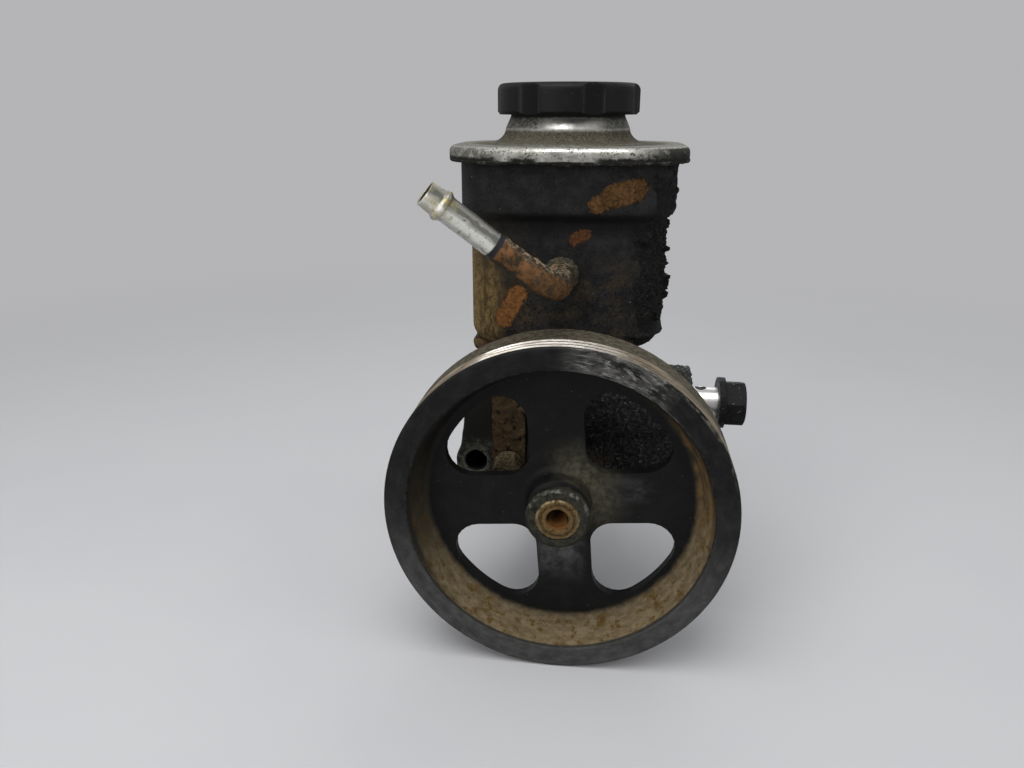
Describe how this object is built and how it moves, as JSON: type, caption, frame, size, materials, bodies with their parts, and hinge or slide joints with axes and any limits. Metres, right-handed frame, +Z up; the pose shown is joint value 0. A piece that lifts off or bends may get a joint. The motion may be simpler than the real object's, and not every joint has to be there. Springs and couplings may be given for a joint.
{
  "type": "power steering pump",
  "caption": "Belt-driven vane pump for power steering: spoked ribbed pulley, cast housing with mounting ears, sheet-steel reservoir with screw cap and a return tube.",
  "frame": {"origin": "on the shaft axis in the plane of the pulley rim's front face, where the shaft-end thread begins", "axes": "+X right seen from the pulley side, +Y along the shaft towards the rear cover, +Z up to the filler cap"},
  "size_m": [0.1557, 0.1287, 0.2475],
  "materials": {
    "pulley": "worn black paint with tan dust in the dish and bright belt ribs",
    "shaft": "bare steel with brown surface rust",
    "seal": "moulded rubber on a steel case",
    "bearing": "ground bearing steel",
    "cage": "pressed brass",
    "spring_steel": "blued spring steel",
    "housing": "black casting under oily grime",
    "cartridge": "ground steel",
    "cover": "black casting with light dust",
    "bolts": "dull zinc with brown staining",
    "valve": "ground steel",
    "outlet": "blackened head on a bright zinc shank",
    "rubber": "black sealing rubber",
    "reservoir": "black paint with rust patches, dust and oily crust",
    "lid": "stained zinc plating",
    "cap": "black moulded plastic",
    "tube": "yellow zinc at the free end, rust at the root",
    "bracket": "rusted steel"
  },
  "bodies": {
    "pump": {"pump_housing": "housing", "shaft_seal": "seal", "bearing_outer_ring": "bearing", "bearing_snap_ring": "spring_steel", "thrust_plate": "cartridge", "cam_ring": "cartridge", "dowel_pins": "cartridge", "pressure_plate": "cartridge", "plate_spring": "spring_steel", "rear_cover": "cover", "cover_o_ring": "rubber", "cover_bolts": "bolts", "valve_spring": "spring_steel", "outlet_union": "valve", "banjo_bolt": "outlet", "inlet_o_ring": "rubber", "reservoir_body": "reservoir", "reservoir_lid": "lid", "return_tube": "tube", "tube_collar": "tube", "reservoir_bracket": "bracket", "bracket_bolts": "bracket"},
    "drive": {"pulley": "pulley", "drive_shaft": "shaft", "bearing_inner_ring": "bearing", "rotor": "cartridge", "vanes": "cartridge"},
    "ball_set": {"bearing_balls": "bearing", "bearing_cage": "cage"},
    "spool": {"valve_spool": "valve"},
    "cap_seal": {"cap_gasket": "rubber"},
    "cap": {"filler_cap": "cap", "dipstick": "cap"}
  },
  "joints": [
    {"name": "drive_spin", "type": "hinge", "parent": "pump", "child": "drive", "pos_m": [0, 0.058, 0], "axis": [0, 1, 0], "continuous": true},
    {"name": "ball_orbit", "type": "hinge", "parent": "pump", "child": "ball_set", "pos_m": [0, 0.058, 0], "axis": [0, 1, 0], "continuous": true},
    {"name": "spool_slide", "type": "slide", "parent": "pump", "child": "spool", "axis": [-1, 0, 0], "range_m": [0, 0.006], "stiffness_N_per_m": 4000, "springref_m": -0.003, "deforming": ["valve_spring"]},
    {"name": "cap_lift", "type": "slide", "parent": "pump", "child": "cap_seal", "axis": [0, 0, 1], "range_m": [0, 0.0061]},
    {"name": "cap_turn", "type": "hinge", "parent": "cap_seal", "child": "cap", "pos_m": [-0.0039, 0.076, 0.1665], "axis": [0, 0, 1], "range_deg": [0, 540]}
  ],
  "couplings": [
    {"joint": "ball_orbit", "follows": "drive_spin", "ratio": 0.38158},
    {"joint": "cap_lift", "follows": "cap_turn", "m_per_rad": 0.00063662}
  ]
}
